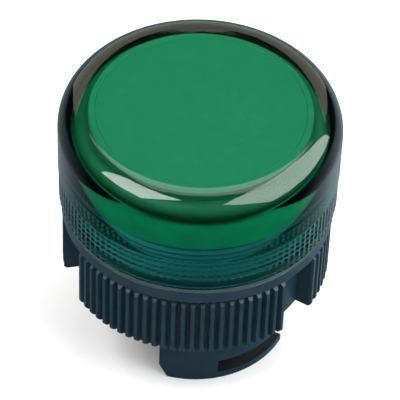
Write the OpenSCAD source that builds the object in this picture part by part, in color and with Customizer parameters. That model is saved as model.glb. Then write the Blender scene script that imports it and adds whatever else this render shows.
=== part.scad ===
// Pilot light head for a 22 mm panel hole: a screwed lens cap over a diffuser and a
// marking disc, on a knurled collar whose two bayonet claws hold it behind the panel.
// The axis is Z. The collar's seat on the panel lies at Z = 0 and the light faces +Z.

/* [Panel fixing] */
// Diameter of the spigot that enters the panel hole
spigot_d = 21.8; // [21.6:0.1:22.0]
// Length of the spigot below the seat
spigot_h = 3.2; // [2.8:0.1:3.6]
// Diameter over the two claws
claw_d = 21.4; // [21.2:0.1:21.5]
// Reach of the claws below the seat
claw_h = 8.75; // [8.25:0.25:9.75]
// Sweep of each claw round the axis, in degrees
claw_sweep = 85; // [75:1:92]
// Distance round the claw from its closed end to its bayonet slot, in degrees
slot_start = 35; // [28:1:45]
// Height of the slot at the outside of the claw
slot_h = 1.9; // [1.5:0.1:2.1]
// Thickness of the lip below the slot
lip_h = 0.85; // [0.7:0.05:1.1]

/* [Collar] */
// Diameter of the smooth flange under the lens
flange_d = 29.3; // [29.2:0.1:29.4]
// Height of the flange's upper face above the seat
collar_h = 9.75; // [9.5:0.25:11]
// Height of the knurled ring
knurl_h = 7.6; // [7.2:0.1:7.8]
// Number of ribs round the knurled ring
knurl_ribs = 88; // [72:4:96]
// How far the ribs stand out of the ring
rib_depth = 0.55; // [0.4:0.05:0.6]
// Number of grip recesses in the knurled ring
recess_count = 3; // [2:1:4]
// Width of each recess round the axis, in degrees
recess_sweep = 18.5; // [14:0.5:22]
// Radius of the recess floor
recess_r = 12.7; // [12.65:0.05:13.2]

/* [Lens] */
// Outer diameter of the lens cap
lens_d = 30; // [29.8:0.1:30.4]
// Height of the lens cap
lens_h = 12.55; // [12:0.25:14]
// Thickness of the lens wall
lens_wall = 1.3; // [1.2:0.05:1.35]
// Thickness of the lens face
lens_face = 1.1; // [0.9:0.1:1.4]
// Rounding between the face and the wall of the lens
lens_edge_r = 3; // [2.4:0.1:3.2]
// Height of the recessed grip band at the lens mouth
grip_h = 4.4; // [3.8:0.1:4.8]
// Diameter of the marking disc behind the lens face
disc_d = 23.6; // [22:0.2:23.8]
// Thickness of the marking disc
disc_t = 1; // [0.8:0.1:1.2]
// Wall thickness of the diffuser
diffuser_wall = 1.1; // [0.9:0.1:1.3]

/* [Lamp] */
// Diameter of the lamp's dome
lamp_d = 5; // [4:0.5:5]
// Distance between the two contact pins
pin_pitch = 12; // [10.5:0.5:12.5]

/* [Hidden] */
$fn = 96;

// Collar: spigot, seat and the hollow inside
spigot_r = spigot_d / 2;
spigot_chamfer = 0.35;
relief_h = 0.6;
relief_r = spigot_r - 0.3;
bore_r = 9.1;
floor_z = 3;
chamber_r = 11.7;
gasket_in_r = relief_r + 0.1;
gasket_out_r = 12.5;
gasket_depth = 0.85;
gasket_proud = 0.4;

// Collar: knurl, flange and neck
root_r = 14;
tip_r = root_r + rib_depth;
rib_pitch = 360 / knurl_ribs;
rib_end_chamfer = 0.3;
undercut_r = 13.75;
undercut_h = 0.4;
flange_r = flange_d / 2;
flange_z = knurl_h + undercut_h;
edge_break = 0.2;
neck_r = 13.15;
neck_h = 5.85;
neck_z = collar_h + neck_h;
thread_r = 13.45;
thread_pitch = 0.75;
thread_turns = 6;
thread_z = collar_h + 0.95;

// Claws
claw_r = claw_d / 2;
claw_front = -109;
slot_step_r = 9.95;
slot_step_h = 0.9;
slot_z = -claw_h + lip_h;
corner_w = 0.95;
corner_h = 1.7;

// Recesses: the first is centred here, measured from +X
recess_first = -39;
recess_fillet = 1.5;
recess_top = flange_z - 0.1;

// Lens, diffuser and disc
seal_t = 0.4;
lens_gap = 0.05;
lens_z = collar_h + seal_t + lens_gap;
lens_r = lens_d / 2;
lens_in_r = lens_r - lens_wall;
lens_top = lens_z + lens_h;
lens_ceiling = lens_top - lens_face;
lens_inner_edge = lens_edge_r - 1.2;
grip_step = 0.18;
lens_crest_r = thread_r + 0.1;
disc_r = disc_d / 2;
disc_z = lens_ceiling - 0.1 - disc_t;
diffuser_r = lens_in_r - 0.25;
diffuser_z = neck_z + 0.1;
diffuser_edge = 1.5;

// Lamp holder, lamp and pins
holder_tube_r = bore_r - 0.15;
holder_flange_r = chamber_r - 0.25;
holder_flange_t = 1.4;
web_z = -2;
web_t = 1.5;
boss_r = 4.2;
boss_top = 6.5;
socket_r = 3;
socket_z = 3;
lamp_r = lamp_d / 2;
lamp_shoulder = 11.5;
pin_r = 0.9;
pin_shank_r = 0.7;
pin_head_r = 1.5;
pin_tip_z = -7.6;

// A ring with the section [inner radius, outer radius] by [bottom, top]
module ring(r_in, r_out, z_low, z_high) {
    rotate_extrude()
        translate([r_in, z_low])
            square([r_out - r_in, z_high - z_low]);
}

// Half section of a drum with a flat top and a rounded shoulder
module drum_section(r, z_low, z_high, round_r) {
    translate([0, z_low])
        square([r, z_high - round_r - z_low]);
    translate([0, z_low])
        square([r - round_r, z_high - z_low]);
    translate([r - round_r, z_high - round_r])
        circle(round_r);
}

// Half section of one thread ridge, from a root sunk in its wall to its crest
module ridge_section(sunk_r, wall_r, crest_r, z) {
    polygon([[sunk_r, z], [wall_r, z], [crest_r, z + thread_pitch * 0.25],
             [crest_r, z + thread_pitch * 0.5], [wall_r, z + thread_pitch * 0.75],
             [sunk_r, z + thread_pitch * 0.75]]);
}

function polar(r, a) = [r * cos(a), r * sin(a)];

// Outline of the knurled ring: a narrow crest and a narrow root on each pitch
function rib_outline(k) = [
    polar(root_r, (k - 0.38) * rib_pitch),
    polar(tip_r, (k - 0.17) * rib_pitch),
    polar(tip_r, (k + 0.17) * rib_pitch),
    polar(root_r, (k + 0.38) * rib_pitch)];

module knurled_ring() {
    over = 0.2;
    reach = rib_end_chamfer + over;
    intersection() {
        linear_extrude(knurl_h)
            polygon([for (k = [0:knurl_ribs - 1]) each rib_outline(k)]);
        rotate_extrude()
            polygon([[0, 0], [tip_r - rib_end_chamfer, 0], [tip_r + over, reach],
                     [tip_r + over, knurl_h - reach], [tip_r - rib_end_chamfer, knurl_h], [0, knurl_h]]);
    }
}

// Undercut, flange and threaded neck above the knurl
module upper_collar() {
    rotate_extrude() {
        polygon([[0, knurl_h - 0.5], [undercut_r, knurl_h - 0.5], [undercut_r, flange_z],
                 [flange_r - edge_break, flange_z], [flange_r, flange_z + edge_break],
                 [flange_r, collar_h - edge_break], [flange_r - edge_break, collar_h],
                 [neck_r, collar_h], [neck_r, neck_z - edge_break], [neck_r - edge_break, neck_z],
                 [0, neck_z]]);
        for (k = [0:thread_turns - 1])
            ridge_section(neck_r - 0.5, neck_r, thread_r, thread_z + k * thread_pitch);
    }
}

module spigot() {
    rotate_extrude()
        polygon([[0, 0.5], [relief_r, 0.5], [relief_r, -relief_h], [spigot_r, -relief_h],
                 [spigot_r, spigot_chamfer - spigot_h], [spigot_r - spigot_chamfer, -spigot_h],
                 [0, -spigot_h]]);
}

// One claw, from its closed end round to the open end of its slot
module claw() {
    difference() {
        rotate_extrude(angle = claw_sweep)
            translate([bore_r - 0.6, -claw_h])
                square([claw_r - bore_r + 0.6, claw_h - relief_h - 1]);
        rotate([0, 0, slot_start])
            rotate_extrude(angle = claw_sweep - slot_start + 5)
                polygon([[slot_step_r, slot_z], [claw_r + 1, slot_z], [claw_r + 1, slot_z + slot_h],
                         [bore_r - 1, slot_z + slot_h], [bore_r - 1, slot_z + slot_step_h],
                         [slot_step_r, slot_z + slot_step_h]]);
        claw_corner();
    }
}

// Sloping cut that takes off the claw's leading corner
module claw_corner() {
    rotate([90, 0, 90])
        translate([0, 0, bore_r - 1.5])
            linear_extrude(4)
                polygon([[-1, -claw_h - 1], [corner_w, -claw_h - 1], [corner_w, -claw_h],
                         [0, corner_h - claw_h], [-1, corner_h - claw_h]]);
}

// Stepped hollow from the claws up to the neck
module collar_hollow() {
    rotate_extrude()
        polygon([[0, -claw_h - 1], [bore_r, -claw_h - 1], [bore_r, floor_z],
                 [chamber_r, floor_z], [chamber_r, neck_z + 1], [0, neck_z + 1]]);
}

// Grip recess, open downwards, that runs out under the flange in a concave fillet
module grip_recess() {
    reach = tip_r + 1 - recess_r;
    rotate([0, 0, -recess_sweep / 2])
        rotate_extrude(angle = recess_sweep) {
            translate([recess_r, -1])
                square([reach, recess_top - recess_fillet + 1]);
            translate([recess_r + recess_fillet, recess_top - recess_fillet])
                circle(recess_fillet);
            translate([recess_r + recess_fillet, 0])
                square([reach - recess_fillet, recess_top]);
        }
}

module collar_body() {
    color([0.13, 0.2, 0.25])
        difference() {
            union() {
                knurled_ring();
                upper_collar();
                spigot();
                for (turn = [0, 180])
                    rotate([0, 0, claw_front + turn])
                        claw();
            }
            collar_hollow();
            ring(relief_r, gasket_out_r + 0.05, -relief_h, gasket_depth);
            for (k = [0:recess_count - 1])
                rotate([0, 0, recess_first + k * 360 / recess_count])
                    grip_recess();
        }
}

module panel_gasket() {
    color([0.1, 0.1, 0.11])
        ring(gasket_in_r, gasket_out_r, -gasket_proud, gasket_depth);
}

module lens_seal() {
    color([0.25, 0.3, 0.32])
        ring(thread_r + 0.05, flange_r + 0.05, collar_h, collar_h + seal_t);
}

// Carrier that drops into the collar from the front and holds the lamp on its axis
module lamp_holder() {
    color([0.85, 0.85, 0.8])
        difference() {
            rotate_extrude() {
                polygon([[0, web_z], [holder_tube_r, web_z], [holder_tube_r, floor_z],
                         [holder_flange_r, floor_z], [holder_flange_r, floor_z + holder_flange_t],
                         [holder_tube_r - 1.4, floor_z + holder_flange_t],
                         [holder_tube_r - 1.4, web_z + web_t], [boss_r, web_z + web_t],
                         [boss_r, boss_top], [0, boss_top]]);
            }
            translate([0, 0, socket_z])
                cylinder(r = socket_r, h = boss_top);
            for (side = [-1, 1])
                translate([0, side * pin_pitch / 2, web_z - 1])
                    cylinder(r = pin_shank_r + 0.05, h = web_t + 2);
        }
}

module led_lamp() {
    color([0.6, 0.85, 0.7])
        union() {
            translate([0, 0, socket_z])
                cylinder(r = socket_r - 0.1, h = boss_top - socket_z + 0.5);
            translate([0, 0, boss_top])
                cylinder(r = socket_r + 0.4, h = 0.9);
            translate([0, 0, boss_top + 0.5])
                cylinder(r = lamp_r, h = lamp_shoulder - boss_top - 0.5);
            translate([0, 0, lamp_shoulder])
                sphere(lamp_r);
        }
}

// Contact pin: its shank passes the holder's web between a shoulder and a head
module contact_pin(side) {
    web_top = web_z + web_t;
    color([0.8, 0.65, 0.3])
        translate([0, side * pin_pitch / 2, 0])
            rotate_extrude()
                polygon([[0, pin_tip_z], [pin_r - 0.4, pin_tip_z], [pin_r, pin_tip_z + 0.6],
                         [pin_r, web_z], [pin_shank_r, web_z], [pin_shank_r, web_top],
                         [pin_head_r, web_top], [pin_head_r, web_top + 0.8], [0, web_top + 0.8]]);
}

module contact_pin_front() contact_pin(-1);

module contact_pin_back() contact_pin(1);

module diffuser_cup() {
    color([0.1, 0.55, 0.35])
        rotate_extrude()
            difference() {
                drum_section(diffuser_r, diffuser_z, disc_z, diffuser_edge);
                translate([0, -1])
                    drum_section(diffuser_r - diffuser_wall, diffuser_z, disc_z - diffuser_wall + 1, 0.8);
            }
}

module marking_disc() {
    color([0.14, 0.57, 0.37])
        rotate_extrude()
            polygon([[0, disc_z], [disc_r, disc_z], [disc_r, disc_z + disc_t - 0.15],
                     [disc_r - 0.15, disc_z + disc_t], [disc_r - 0.6, disc_z + disc_t],
                     [disc_r - 0.7, disc_z + disc_t - 0.08], [disc_r - 0.8, disc_z + disc_t],
                     [0, disc_z + disc_t]]);
}

// Half section of the hollow inside the lens, with the thread ridges left standing in it
module lens_hollow_section() {
    difference() {
        translate([0, -1])
            drum_section(lens_in_r, lens_z, lens_ceiling + 1, lens_inner_edge);
        for (k = [0:thread_turns - 1])
            ridge_section(lens_in_r + 0.5, lens_in_r, lens_crest_r, thread_z + k * thread_pitch);
    }
    polygon([[0, lens_z - 1], [lens_in_r + 0.3, lens_z - 1], [lens_in_r + 0.3, lens_z],
             [lens_in_r, lens_z + 0.3], [0, lens_z + 0.3]]);
}

module lens_cap() {
    color([0.1, 0.5, 0.4, 0.5])
        rotate_extrude()
            difference() {
                union() {
                    translate([0, lens_z])
                        square([lens_r - grip_step, grip_h + 1]);
                    translate([0, lens_z + grip_h])
                        drum_section(lens_r, 0, lens_h - grip_h, lens_edge_r);
                }
                lens_hollow_section();
            }
}

collar_body();
panel_gasket();
lens_seal();
lamp_holder();
led_lamp();
contact_pin_front();
contact_pin_back();
diffuser_cup();
marking_disc();
lens_cap();
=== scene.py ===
"""Pilot light head: finishes for its moulded parts, the clear lens cap, and a plain studio round them."""

import math

import bmesh
import bpy
from bpy.props import FloatProperty, FloatVectorProperty, IntProperty, PointerProperty
from mathutils import Matrix, Vector


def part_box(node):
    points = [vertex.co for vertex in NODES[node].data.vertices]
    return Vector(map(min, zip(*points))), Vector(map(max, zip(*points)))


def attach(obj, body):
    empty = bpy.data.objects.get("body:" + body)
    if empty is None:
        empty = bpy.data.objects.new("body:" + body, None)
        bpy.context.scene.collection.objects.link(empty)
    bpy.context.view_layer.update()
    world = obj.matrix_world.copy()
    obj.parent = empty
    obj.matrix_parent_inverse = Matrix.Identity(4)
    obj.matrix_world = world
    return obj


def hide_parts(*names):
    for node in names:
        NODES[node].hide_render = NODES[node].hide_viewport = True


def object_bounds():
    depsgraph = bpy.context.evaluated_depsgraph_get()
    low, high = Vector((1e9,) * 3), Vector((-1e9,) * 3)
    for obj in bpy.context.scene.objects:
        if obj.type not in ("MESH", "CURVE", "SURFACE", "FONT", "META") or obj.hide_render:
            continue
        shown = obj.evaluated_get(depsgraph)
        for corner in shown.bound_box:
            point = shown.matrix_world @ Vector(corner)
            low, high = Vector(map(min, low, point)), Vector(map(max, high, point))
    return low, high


bl_info = {
    "name": "Panel pilot light head",
    "version": (1, 0, 0),
    "blender": (4, 5, 0),
    "location": "3D View > Sidebar > Pilot light",
    "description": "Dresses the packed pilot light head and sets up its studio",
    "category": "Object",
}

MM = 0.001
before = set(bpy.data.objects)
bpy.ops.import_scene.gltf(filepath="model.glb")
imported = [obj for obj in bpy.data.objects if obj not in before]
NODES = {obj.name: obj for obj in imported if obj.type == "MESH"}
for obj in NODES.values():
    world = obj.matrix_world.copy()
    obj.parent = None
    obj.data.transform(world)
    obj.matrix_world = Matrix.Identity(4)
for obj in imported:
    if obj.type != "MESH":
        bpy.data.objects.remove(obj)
CAD_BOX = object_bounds()
LENS_LOW, LENS_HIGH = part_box("lens_cap")
HEAD_LOW, HEAD_HIGH = CAD_BOX

# Widths over which one tone passes into another, along the axis and across it
ZONE_BLEND = 0.15 * MM
RADIUS_BLEND = 0.04 * MM
# Zones of painted shade: a darker shoulder and a near-black edge band below the diffuser's top, where it lies
# in shade behind the lens rim, and the dark insides of the claws, where their slots lie in shade
SHOULDER_SHADE_DEPTH = 0.8 * MM
EDGE_SHADE_DEPTH = 1.5 * MM
EDGE_SHADE_SHARE = 0.3
CLAW_SHADE_REACH = 5 * MM
CLAW_SHADE_RADIUS = 10.62 * MM

# Studio: half width of the floor, distance of the lamps, and the camera's sensor and shift
FLOOR_HALF = 0.9
LAMP_DISTANCE = 0.5
SENSOR_WIDTH = 36
CAMERA_SHIFT = (0.0052, -0.0284)
WHITE = (1, 1, 1)
# Each lamp: name, direction from the head, line its first side follows, size, radiance, tone
LAMPS = (
    ("softbox_right", (0.66, -0.03, 0.74), (0, 1, 0), (0.68, 0.46), 6.0, WHITE),
    ("softbox_left", (-0.5, -0.22, 0.84), (0.52, 0.26, 0.34), (0.31, 0.296), 10, WHITE),
    ("ceiling_card", (0.01, 0.35, 0.94), (1, 0, 0), (0.29, 0.33), 2.3, WHITE),
    ("back_card", (-0.04, 0.923, 0.383), (1, 0, 0), (0.68, 0.375), 1.2, (1, 0.98, 0.85)),
)


# ---------------------------------------------------------------- settings


def length(label, note, default):
    return FloatProperty(name=label, description=note, default=default, unit="LENGTH", subtype="DISTANCE",
                         precision=5)


def colour(label, note, default):
    return FloatVectorProperty(name=label, description=note, default=default, subtype="COLOR", size=3,
                               min=0, max=1)


def share(label, note, default, top=1.0):
    return FloatProperty(name=label, description=note, default=default, min=0, max=top, subtype="FACTOR")


class LensSettings(bpy.types.PropertyGroup):
    tint: colour("Tint", "Colour that the clear plastic keeps as light goes through it", (0.0, 0.89, 0.82))
    depth: FloatProperty(name="Depth of tint", default=550, min=0,
                         description="How fast the plastic takes the other colours out, per metre")
    bend: FloatProperty(name="Refraction", description="Index of refraction of the clear plastic", default=1.5,
                        min=1, max=2)
    wall: length("Wall", "Thickness of the lens wall", 1.3 * MM)
    face: length("Face", "Thickness of the lens face", 1.1 * MM)
    edge: length("Edge radius", "Rounding between the face and the wall", 3 * MM)
    inner_edge: length("Inner edge radius", "Rounding inside that edge", 1.8 * MM)
    grip_height: length("Grip band", "Height of the recessed grip band at the mouth", 4.4 * MM)
    grip_step: length("Grip step", "How far the grip band lies behind the wall", 0.18 * MM)
    thread_pitch: length("Thread pitch", "Height of one thread ridge and its groove", 0.7 * MM)
    thread_depth: length("Thread depth", "How far the ridges stand into the hollow", 0.07 * MM)
    thread_turns: IntProperty(name="Thread turns", description="Number of thread ridges", default=5, min=1)
    rib_count: IntProperty(name="Grip ribs", description="Number of ribs round the grip band", default=120,
                           min=12)
    rib_height: length("Rib height", "How far the grip ribs stand out", 0.1 * MM)


class PlasticSettings(bpy.types.PropertyGroup):
    collar: colour("Collar", "Colour of the collar's plastic", (0.006, 0.028, 0.048))
    collar_pale: colour("Collar, pale", "Paler streaks in the collar's plastic", (0.01, 0.037, 0.06))
    disc: colour("Disc", "Colour of the marking disc", (0.008, 0.1, 0.036))
    diffuser: colour("Diffuser", "Colour of the diffuser's wall", (0.0005, 0.29, 0.13))
    # Shoulder is painted shade: a dark tone for the top of the diffuser, which lies in shade behind the lens
    # rim
    shoulder: colour("Shoulder", "Colour of the diffuser's polished shoulder", (0.0004, 0.05, 0.014))
    # Neck is painted light: a paler teal tone for the light that the lens gathers onto the collar's neck
    neck: colour("Neck", "Colour of the collar's neck in the light that the lens gathers", (0.02, 0.085, 0.11))
    # Claw insides is painted shade: a near-black tone inside the claws, where their slots lie in shade
    inside: colour("Claw insides", "Colour inside the claws and their slots", (0.002, 0.005, 0.006))
    rubber: colour("Rubber", "Colour of the panel gasket", (0.012, 0.012, 0.013))
    seal: colour("Seal", "Colour of the lens seal", (0.04, 0.055, 0.06))
    holder: colour("Holder", "Colour of the lamp holder", (0.5, 0.48, 0.42))
    grain: length("Grain", "Size of the mould grain on the plastic", 0.18 * MM)


class StudioSettings(bpy.types.PropertyGroup):
    floor: colour("Floor", "Colour of the floor", (0.8, 0.8, 0.8))
    distance: length("Camera distance", "From the camera to the point it looks at", 0.3)
    elevation: FloatProperty(name="Camera elevation", description="Angle of the view above the horizon",
                             default=math.radians(45.87), subtype="ANGLE")
    roll: FloatProperty(name="Camera roll", description="Turn of the camera about its own view",
                        default=math.radians(2.27), subtype="ANGLE")
    focal: FloatProperty(name="Focal length", description="Focal length on a 36 mm sensor", default=251.8,
                         min=1)
    light: share("Light", "Strength of all the lamps", 1.0, 4.0)


# ---------------------------------------------------------------- material tools


def new_material(name):
    material = bpy.data.materials.new(name)
    material.use_nodes = True
    tree = material.node_tree
    tree.nodes.clear()
    out = tree.nodes.new("ShaderNodeOutputMaterial")
    skin = tree.nodes.new("ShaderNodeBsdfPrincipled")
    tree.links.new(skin.outputs["BSDF"], out.inputs["Surface"])
    return material, tree, skin


def noise(tree, size, stretch=(1, 1, 1), detail=3.0):
    """Noise with blobs of about that size in metres, stretched along the axes."""
    coords = tree.nodes.new("ShaderNodeTexCoord")
    mapping = tree.nodes.new("ShaderNodeMapping")
    mapping.inputs["Scale"].default_value = [1 / s for s in stretch]
    pattern = tree.nodes.new("ShaderNodeTexNoise")
    pattern.inputs["Scale"].default_value = 1 / size
    pattern.inputs["Detail"].default_value = detail
    tree.links.new(coords.outputs["Object"], mapping.inputs["Vector"])
    tree.links.new(mapping.outputs["Vector"], pattern.inputs["Vector"])
    return pattern.outputs["Fac"]


def spread(tree, value, low, high, start=0.3, end=0.7):
    """Maps the middle of a noise to low..high."""
    node = tree.nodes.new("ShaderNodeMapRange")
    for name, number in (("From Min", start), ("From Max", end), ("To Min", low), ("To Max", high)):
        node.inputs[name].default_value = number
    tree.links.new(value, node.inputs["Value"])
    return node.outputs["Result"]


def two_tone(tree, value, first, second):
    """Mixes two tones, each a colour or a socket, by the value."""
    mix = tree.nodes.new("ShaderNodeMix")
    mix.data_type = "RGBA"
    for tone, socket in ((first, mix.inputs[6]), (second, mix.inputs[7])):
        if isinstance(tone, bpy.types.NodeSocket):
            tree.links.new(tone, socket)
        else:
            socket.default_value = (*tone, 1)
    tree.links.new(value, mix.inputs[0])
    return mix.outputs[2]


def emboss(tree, skin, height, strength, depth):
    bump = tree.nodes.new("ShaderNodeBump")
    bump.inputs["Strength"].default_value = strength
    bump.inputs["Distance"].default_value = depth
    tree.links.new(height, bump.inputs["Height"])
    tree.links.new(bump.outputs["Normal"], skin.inputs["Normal"])


def moulded_plastic(name, base, pale, rough, grain, depth):
    """Moulded plastic: two close tones, an uneven gloss and a fine mould grain."""
    material, tree, skin = new_material(name)
    tone = spread(tree, noise(tree, 1.4 * MM, detail=5), 0, 1)
    tree.links.new(two_tone(tree, tone, base, pale), skin.inputs["Base Color"])
    gloss = spread(tree, noise(tree, 0.9 * MM), *rough)
    tree.links.new(gloss, skin.inputs["Roughness"])
    emboss(tree, skin, noise(tree, grain, detail=2), 0.6, depth)
    return material


def brass(name):
    material, tree, skin = new_material(name)
    stain = spread(tree, noise(tree, 0.8 * MM, detail=6), 0, 1, 0.35, 0.65)
    tree.links.new(two_tone(tree, stain, (0.62, 0.42, 0.16), (0.4, 0.25, 0.1)), skin.inputs["Base Color"])
    skin.inputs["Metallic"].default_value = 1
    turning = noise(tree, 0.12 * MM, stretch=(40, 40, 1), detail=1)
    tree.links.new(spread(tree, turning, 0.2, 0.38), skin.inputs["Roughness"])
    emboss(tree, skin, turning, 0.5, 0.01 * MM)
    return material


def clear_plastic(name, lens):
    """Tinted clear plastic that refracts what is seen through it and lets the lamps' light in."""
    material, tree, skin = new_material(name)
    faint = spread(tree, noise(tree, 2.5 * MM, detail=4), 0, 1)
    tree.links.new(two_tone(tree, faint, (0.97, 0.99, 0.98), (1, 1, 1)), skin.inputs["Base Color"])
    tree.links.new(spread(tree, noise(tree, 1.1 * MM), 0.0, 0.03), skin.inputs["Roughness"])
    skin.inputs["IOR"].default_value = lens.bend
    skin.inputs["Transmission Weight"].default_value = 1
    emboss(tree, skin, noise(tree, 3 * MM, detail=2), 0.12, 0.02 * MM)
    rays = tree.nodes.new("ShaderNodeLightPath")
    passing = tree.nodes.new("ShaderNodeBsdfTransparent")
    passing.inputs["Color"].default_value = (0.92, 0.92, 0.92, 1)
    pick = tree.nodes.new("ShaderNodeMixShader")
    out = next(n for n in tree.nodes if n.type == "OUTPUT_MATERIAL")
    tree.links.new(rays.outputs["Is Shadow Ray"], pick.inputs["Fac"])
    tree.links.new(skin.outputs["BSDF"], pick.inputs[1])
    tree.links.new(passing.outputs["BSDF"], pick.inputs[2])
    tree.links.new(pick.outputs["Shader"], out.inputs["Surface"])
    body = tree.nodes.new("ShaderNodeVolumeAbsorption")
    body.inputs["Color"].default_value = (*lens.tint, 1)
    body.inputs["Density"].default_value = lens.depth
    tree.links.new(body.outputs["Volume"], out.inputs["Volume"])
    return material


def tone_zone(material, tone, low, high=None, radius=None):
    """Turns a plastic to one tone above a height, or up to another height within a radius of the axis."""
    tree = material.node_tree
    socket = next(n for n in tree.nodes if n.type == "BSDF_PRINCIPLED").inputs["Base Color"]
    plain = socket.links[0].from_socket
    coords = tree.nodes.new("ShaderNodeTexCoord")
    parts = tree.nodes.new("ShaderNodeSeparateXYZ")
    tree.links.new(coords.outputs["Object"], parts.inputs[0])
    zone = spread(tree, parts.outputs["Z"], 0, 1, low - ZONE_BLEND, low + ZONE_BLEND)
    if high is not None:
        flat = tree.nodes.new("ShaderNodeVectorMath")
        flat.operation = "MULTIPLY"
        flat.inputs[1].default_value = (1, 1, 0)
        tree.links.new(coords.outputs["Object"], flat.inputs[0])
        reach = tree.nodes.new("ShaderNodeVectorMath")
        reach.operation = "LENGTH"
        tree.links.new(flat.outputs[0], reach.inputs[0])
        within = spread(tree, reach.outputs["Value"], 1, 0, radius - RADIUS_BLEND, radius + RADIUS_BLEND)
        beneath = spread(tree, parts.outputs["Z"], 1, 0, high - ZONE_BLEND, high + ZONE_BLEND)
        zone = math_node(tree, "MULTIPLY", zone, math_node(tree, "MULTIPLY", within, beneath))
    tree.links.new(two_tone(tree, zone, plain, tone), socket)


def dress(node, material):
    """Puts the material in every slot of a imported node."""
    for slot in NODES[node].material_slots:
        slot.material = material


# ---------------------------------------------------------------- lens geometry


def arc(centre_r, centre_z, radius, start, end, steps):
    """Points of an arc in the half section, with its angles taken from the horizontal."""
    angles = [math.radians(start + (end - start) * i / steps) for i in range(steps + 1)]
    return [(centre_r + radius * math.cos(a), centre_z + radius * math.sin(a)) for a in angles]


def lens_section(lens):
    """Half section of the lens cap from its top centre round to its ceiling's centre: (r, z, rib share)."""
    r_out = LENS_HIGH.x
    z_low, z_high = LENS_LOW.z, LENS_HIGH.z
    r_in = r_out - lens.wall
    ceiling = z_high - lens.face
    grip_r = r_out - lens.grip_step
    grip_z = z_low + lens.grip_height
    brk = 0.05 * MM
    near = 0.08 * MM
    outside = [(0, z_high), (r_out - lens.edge - near, z_high)]
    outside += arc(r_out - lens.edge, z_high - lens.edge, lens.edge, 90, 0, 24)
    outside += [(r_out, z_high - lens.edge - near), (r_out, grip_z + brk + near), (r_out, grip_z + brk),
                (r_out - brk, grip_z), (grip_r, grip_z)]
    points = [(r, z, 0) for r, z in outside]
    points += [(grip_r, grip_z - 2 * brk, 1), (grip_r, z_low + 6 * brk, 1), (grip_r, z_low + 4 * brk, 0),
               (grip_r, z_low + 3 * brk, 0), (grip_r - 3 * brk, z_low, 0)]
    inside = [(r_in + 0.3 * MM, z_low), (r_in, z_low + 0.3 * MM)]
    first = z_low + 0.5 * MM
    pitch, crest = lens.thread_pitch, r_in - lens.thread_depth
    for k in range(lens.thread_turns):
        z = first + k * pitch
        inside += [(r_in, z), (crest, z + 0.25 * pitch), (crest, z + 0.5 * pitch), (r_in, z + 0.75 * pitch)]
    inside += [(r_in, ceiling - lens.inner_edge - near)]
    inside += arc(r_in - lens.inner_edge, ceiling - lens.inner_edge, lens.inner_edge, 0, 90, 16)
    inside += [(r_in - lens.inner_edge - near, ceiling), (0, ceiling)]
    return points + [(r, z, 0) for r, z in inside]


def turned_mesh(name, section, steps):
    """A closed mesh of revolution about Z from section points (r, z, share), with the share on its vertices."""
    mesh = bpy.data.meshes.new(name)
    work = bmesh.new()
    layer = work.verts.layers.float.new("rib_share")
    rings = []
    for r, z, rib in section:
        if r == 0:
            ring = [work.verts.new((0, 0, z))]
        else:
            ring = [work.verts.new((r * math.cos(a), r * math.sin(a), z))
                    for a in (2 * math.pi * i / steps for i in range(steps))]
        for vert in ring:
            vert[layer] = rib
        rings.append(ring)
    for upper, lower in zip(rings, rings[1:]):
        for i in range(steps):
            j = (i + 1) % steps
            corners = [upper[i % len(upper)], lower[i % len(lower)], lower[j % len(lower)],
                       upper[j % len(upper)]]
            work.faces.new(list(dict.fromkeys(corners)))
    bmesh.ops.recalc_face_normals(work, faces=work.faces)
    work.to_mesh(mesh)
    work.free()
    return mesh


def smooth_faces(mesh, angle):
    mesh.polygons.foreach_set("use_smooth", [True] * len(mesh.polygons))
    mesh.set_sharp_from_angle(angle=math.radians(angle))


def math_node(tree, operation, first, second=None, clamp=False):
    """A Math node whose inputs are sockets or numbers."""
    node = tree.nodes.new("ShaderNodeMath")
    node.operation = operation
    node.use_clamp = clamp
    for value, socket in zip((first, second), node.inputs):
        if isinstance(value, (int, float)):
            socket.default_value = value
        elif value is not None:
            tree.links.new(value, socket)
    return node.outputs[0]


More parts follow.
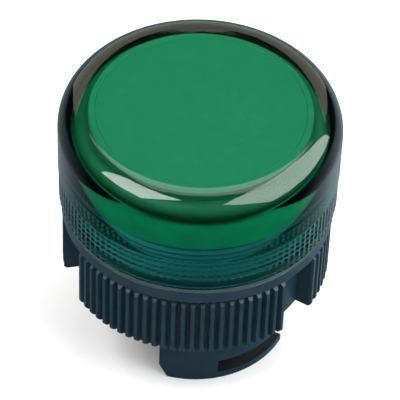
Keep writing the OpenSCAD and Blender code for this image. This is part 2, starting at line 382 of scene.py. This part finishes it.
def grip_rib_tree():
    """Geometry Nodes tree that raises ribs round the axis on the points with a rib share."""
    tree = bpy.data.node_groups.new("Grip ribs", "GeometryNodeTree")
    face = tree.interface
    face.new_socket("Geometry", in_out="INPUT", socket_type="NodeSocketGeometry")
    face.new_socket("Geometry", in_out="OUTPUT", socket_type="NodeSocketGeometry")
    face.new_socket("Rib count", in_out="INPUT", socket_type="NodeSocketInt")
    face.new_socket("Rib height", in_out="INPUT", socket_type="NodeSocketFloat")
    face.new_socket("Material", in_out="INPUT", socket_type="NodeSocketMaterial")
    start = tree.nodes.new("NodeGroupInput")
    end = tree.nodes.new("NodeGroupOutput")
    place = tree.nodes.new("GeometryNodeInputPosition")
    parts = tree.nodes.new("ShaderNodeSeparateXYZ")
    tree.links.new(place.outputs[0], parts.inputs[0])
    angle = math_node(tree, "ARCTAN2", parts.outputs["Y"], parts.outputs["X"])
    turns = math_node(tree, "DIVIDE", angle, 2 * math.pi)
    phase = math_node(tree, "FRACT", math_node(
        tree, "ADD", math_node(tree, "MULTIPLY", turns, start.outputs["Rib count"]), 0.125))
    wave = math_node(tree, "ABSOLUTE", math_node(tree, "SUBTRACT", math_node(tree, "MULTIPLY", phase, 2), 1))
    crest = math_node(tree, "SUBTRACT", 1.5, math_node(tree, "MULTIPLY", wave, 2), clamp=True)
    mark = tree.nodes.new("GeometryNodeInputNamedAttribute")
    mark.data_type = "FLOAT"
    mark.inputs["Name"].default_value = "rib_share"
    rise = math_node(tree, "MULTIPLY", math_node(tree, "MULTIPLY", crest, mark.outputs["Attribute"]),
                     start.outputs["Rib height"])
    flat = tree.nodes.new("ShaderNodeCombineXYZ")
    tree.links.new(parts.outputs["X"], flat.inputs["X"])
    tree.links.new(parts.outputs["Y"], flat.inputs["Y"])
    outward = tree.nodes.new("ShaderNodeVectorMath")
    outward.operation = "NORMALIZE"
    tree.links.new(flat.outputs[0], outward.inputs[0])
    push = tree.nodes.new("ShaderNodeVectorMath")
    push.operation = "SCALE"
    tree.links.new(outward.outputs[0], push.inputs[0])
    tree.links.new(rise, push.inputs["Scale"])
    shift = tree.nodes.new("GeometryNodeSetPosition")
    tree.links.new(start.outputs["Geometry"], shift.inputs["Geometry"])
    tree.links.new(push.outputs[0], shift.inputs["Offset"])
    solid = tree.nodes.new("GeometryNodeRealizeInstances")
    paint = tree.nodes.new("GeometryNodeSetMaterial")
    tree.links.new(shift.outputs["Geometry"], solid.inputs["Geometry"])
    tree.links.new(solid.outputs["Geometry"], paint.inputs["Geometry"])
    tree.links.new(start.outputs["Material"], paint.inputs["Material"])
    tree.links.new(paint.outputs["Geometry"], end.inputs["Geometry"])
    return tree


def run_tree(obj, tree, values):
    """Runs a Geometry Nodes tree on the object, leaves its result as a plain mesh, and takes the tree off."""
    modifier = obj.modifiers.new(tree.name, "NODES")
    modifier.node_group = tree
    for item in tree.interface.items_tree:
        if item.in_out == "INPUT" and item.name in values:
            modifier[item.identifier] = values[item.name]
    graph = bpy.context.evaluated_depsgraph_get()
    result = bpy.data.meshes.new_from_object(obj.evaluated_get(graph))
    obj.modifiers.remove(modifier)
    result.name = obj.name
    obj.data = result
    return obj


def add_object(name, mesh):
    obj = bpy.data.objects.new(name, mesh)
    bpy.context.scene.collection.objects.link(obj)
    return obj


# ---------------------------------------------------------------- operators


class PILOT_OT_lens(bpy.types.Operator):
    """Turns the clear lens cap and raises the ribs of its grip band"""

    bl_idname = "pilot.lens"
    bl_label = "Lens cap"

    def execute(self, context):
        lens = context.scene.pilot_lens
        finish = clear_plastic("clear_green_plastic", lens)
        cap = add_object("lens_shell", turned_mesh("lens_shell", lens_section(lens), 4 * lens.rib_count))
        run_tree(cap, grip_rib_tree(), {"Rib count": lens.rib_count, "Rib height": lens.rib_height,
                                        "Material": finish})
        smooth_faces(cap.data, 28)
        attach(cap, "lens")
        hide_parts("lens_cap")
        return {"FINISHED"}


class PILOT_OT_diffuser(bpy.types.Operator):
    """Finishes the diffuser and the marking disc behind the lens, with painted shade on the diffuser's shoulder
    and on the band below it
    """

    bl_idname = "pilot.diffuser"
    bl_label = "Diffuser and disc"

    def execute(self, context):
        look = context.scene.pilot_plastic
        deep = [0.8 * c for c in look.diffuser]
        wall = moulded_plastic("diffuser_plastic", deep, look.diffuser, (0.35, 0.5), look.grain, 0.01 * MM)
        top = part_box("diffuser_cup")[1].z
        # Painted shade: the diffuser's wall turns near-black from 1.5 mm below its top, and takes the shoulder
        # tone in the top 0.8 mm, for the shade behind the lens rim
        tone_zone(wall, [EDGE_SHADE_SHARE * c for c in look.shoulder], top - EDGE_SHADE_DEPTH)
        tone_zone(wall, look.shoulder, top - SHOULDER_SHADE_DEPTH)
        dress("diffuser_cup", wall)
        paler = [0.93 * c for c in look.disc]
        dress("marking_disc", moulded_plastic("disc_plastic", paler, look.disc, (0.5, 0.65), look.grain,
                                              0.012 * MM))
        return {"FINISHED"}


class PILOT_OT_collar(bpy.types.Operator):
    """Finishes the knurled collar, with painted light on its neck and painted shade inside its claws"""

    bl_idname = "pilot.collar"
    bl_label = "Collar"

    def execute(self, context):
        look = context.scene.pilot_plastic
        skin = moulded_plastic("collar_plastic", look.collar, look.collar_pale, (0.36, 0.5), look.grain,
                               0.02 * MM)
        # Painted light: the collar above the lens's bottom takes the paler teal neck tone, for the light that
        # the lens gathers onto the neck
        tone_zone(skin, look.neck, LENS_LOW.z)
        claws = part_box("collar_body")[0].z
        # Painted shade: near-black inside the claws, within their inside radius and up to 5 mm above their
        # bottom, for the shade in their slots
        tone_zone(skin, look.inside, claws - 1 * MM, claws + CLAW_SHADE_REACH, CLAW_SHADE_RADIUS)
        dress("collar_body", skin)
        return {"FINISHED"}


class PILOT_OT_seals(bpy.types.Operator):
    """Finishes the panel gasket and the lens seal"""

    bl_idname = "pilot.seals"
    bl_label = "Seals"

    def execute(self, context):
        look = context.scene.pilot_plastic
        paler = [1.6 * c for c in look.rubber]
        dress("panel_gasket", moulded_plastic("gasket_rubber", look.rubber, paler, (0.6, 0.8), 0.1 * MM,
                                              0.02 * MM))
        dress("lens_seal", moulded_plastic("seal_rubber", look.seal, [1.2 * c for c in look.seal], (0.5, 0.7),
                                           0.12 * MM, 0.015 * MM))
        return {"FINISHED"}


class PILOT_OT_lamp(bpy.types.Operator):
    """Finishes the lamp, its holder and the contact pins"""

    bl_idname = "pilot.lamp"
    bl_label = "Lamp and holder"

    def execute(self, context):
        look = context.scene.pilot_plastic
        paler = [min(1, 1.1 * c) for c in look.holder]
        dress("lamp_holder", moulded_plastic("holder_plastic", look.holder, paler, (0.4, 0.55), look.grain,
                                             0.015 * MM))
        dress("led_lamp", moulded_plastic("lamp_resin", (0.3, 0.62, 0.42), (0.38, 0.7, 0.5), (0.1, 0.2),
                                          0.3 * MM, 0.004 * MM))
        for node in ("contact_pin_front", "contact_pin_back"):
            dress(node, brass("pin_brass"))
        return {"FINISHED"}


def aim_camera(studio):
    """Camera at the given elevation in front of the head, turned towards the centre of the lens's mouth."""
    target = Vector((0, 0, LENS_LOW.z))
    back = Vector((0, -math.cos(studio.elevation), math.sin(studio.elevation)))
    right = Vector((1, 0, 0))
    upward = back.cross(right)
    across = right * math.cos(studio.roll) + upward * math.sin(studio.roll)
    above = upward * math.cos(studio.roll) - right * math.sin(studio.roll)
    turn = Matrix((across, above, back)).transposed()
    data = bpy.data.cameras.new("view_camera")
    data.lens = studio.focal
    data.sensor_width = SENSOR_WIDTH
    data.clip_start = 0.01
    data.shift_x, data.shift_y = CAMERA_SHIFT
    camera = add_object("view_camera", data)
    camera.matrix_world = Matrix.Translation(target + back * studio.distance) @ turn.to_4x4()
    bpy.context.scene.camera = camera


def softbox(name, direction, along, size, radiance, tone):
    """A rectangular lamp that faces the head, with its first side along the given line."""
    target = Vector((0, 0, 0.5 * (HEAD_LOW.z + HEAD_HIGH.z)))
    toward = Vector(direction).normalized()
    upward = toward.cross(Vector(along)).normalized()
    turn = Matrix((upward.cross(toward), upward, toward)).transposed()
    data = bpy.data.lights.new(name, "AREA")
    data.shape = "RECTANGLE"
    data.size, data.size_y = size
    data.energy = radiance * math.pi * size[0] * size[1]
    data.color = tone
    lamp = add_object(name, data)
    lamp.matrix_world = Matrix.Translation(target + toward * LAMP_DISTANCE) @ turn.to_4x4()
    lamp.visible_camera = False
    lamp.visible_transmission = False
    return lamp


def set_world(scene):
    """Dim surroundings: slate behind and below the head, paler on its right, and nearly dark elsewhere."""
    world = bpy.data.worlds.new("studio_world")
    scene.world = world
    world.use_nodes = True
    world.cycles_visibility.transmission = False
    tree = world.node_tree
    coords = tree.nodes.new("ShaderNodeTexCoord")
    parts = tree.nodes.new("ShaderNodeSeparateXYZ")
    tree.links.new(coords.outputs["Generated"], parts.inputs[0])
    behind = spread(tree, parts.outputs["Y"], 0, 1, -0.1, 0.5)
    below = spread(tree, parts.outputs["Z"], 1, 0, -0.1, 0.1)
    both = math_node(tree, "MULTIPLY", behind, below)
    paler = spread(tree, parts.outputs["X"], 0, 1, 0.1, 0.5)
    slate = two_tone(tree, paler, (0.27, 0.36, 0.4), (0.5, 0.66, 0.72))
    glow = two_tone(tree, both, (0.03, 0.035, 0.04), slate)
    tree.links.new(glow, tree.nodes["Background"].inputs["Color"])


class PILOT_OT_studio(bpy.types.Operator):
    """Sets the floor, the lamps and the camera"""

    bl_idname = "pilot.studio"
    bl_label = "Studio"

    def execute(self, context):
        studio = context.scene.pilot_studio
        scene = context.scene
        z = HEAD_LOW.z
        corners = [(x * FLOOR_HALF, y * FLOOR_HALF, z) for x, y in ((-1, -1), (1, -1), (1, 1), (-1, 1))]
        mesh = bpy.data.meshes.new("studio_floor")
        mesh.from_pydata(corners, [], [(0, 1, 2, 3)])
        floor = add_object("studio_floor", mesh)
        paler = [min(1, 1.02 * c) for c in studio.floor]
        floor.data.materials.append(moulded_plastic("floor_paper", studio.floor, paler, (0.8, 0.9), 1 * MM,
                                                    0.01 * MM))
        floor.visible_glossy = False
        floor.visible_transmission = False
        set_world(scene)
        for name, direction, along, size, radiance, tone in LAMPS:
            softbox(name, direction, along, size, radiance * studio.light, tone)
        scene.view_settings.view_transform = "Standard"
        aim_camera(studio)
        return {"FINISHED"}


class PILOT_PT_panel(bpy.types.Panel):
    """Lists the settings and the steps of the pilot light head"""

    bl_idname = "PILOT_PT_panel"
    bl_label = "Pilot light"
    bl_space_type = "VIEW_3D"
    bl_region_type = "UI"
    bl_category = "Pilot light"

    def draw(self, context):
        for group in (context.scene.pilot_lens, context.scene.pilot_plastic, context.scene.pilot_studio):
            box = self.layout.box()
            for key in group.bl_rna.properties.keys():
                if key not in ("rna_type", "name"):
                    box.prop(group, key)
        for step in STEPS:
            self.layout.operator(step.bl_idname)


STEPS = (PILOT_OT_lens, PILOT_OT_diffuser, PILOT_OT_collar, PILOT_OT_seals, PILOT_OT_lamp, PILOT_OT_studio)
GROUPS = {"pilot_lens": LensSettings, "pilot_plastic": PlasticSettings, "pilot_studio": StudioSettings}


def register():
    for cls in (*GROUPS.values(), *STEPS, PILOT_PT_panel):
        bpy.utils.register_class(cls)
    for name, group in GROUPS.items():
        setattr(bpy.types.Scene, name, PointerProperty(type=group))


def unregister():
    for name in GROUPS:
        delattr(bpy.types.Scene, name)
    for cls in reversed((*GROUPS.values(), *STEPS, PILOT_PT_panel)):
        bpy.utils.unregister_class(cls)


def main():
    register()
    bpy.ops.pilot.lens()
    bpy.ops.pilot.diffuser()
    bpy.ops.pilot.collar()
    bpy.ops.pilot.seals()
    bpy.ops.pilot.lamp()
    bpy.ops.pilot.studio()


if __name__ == "__main__":
    main()
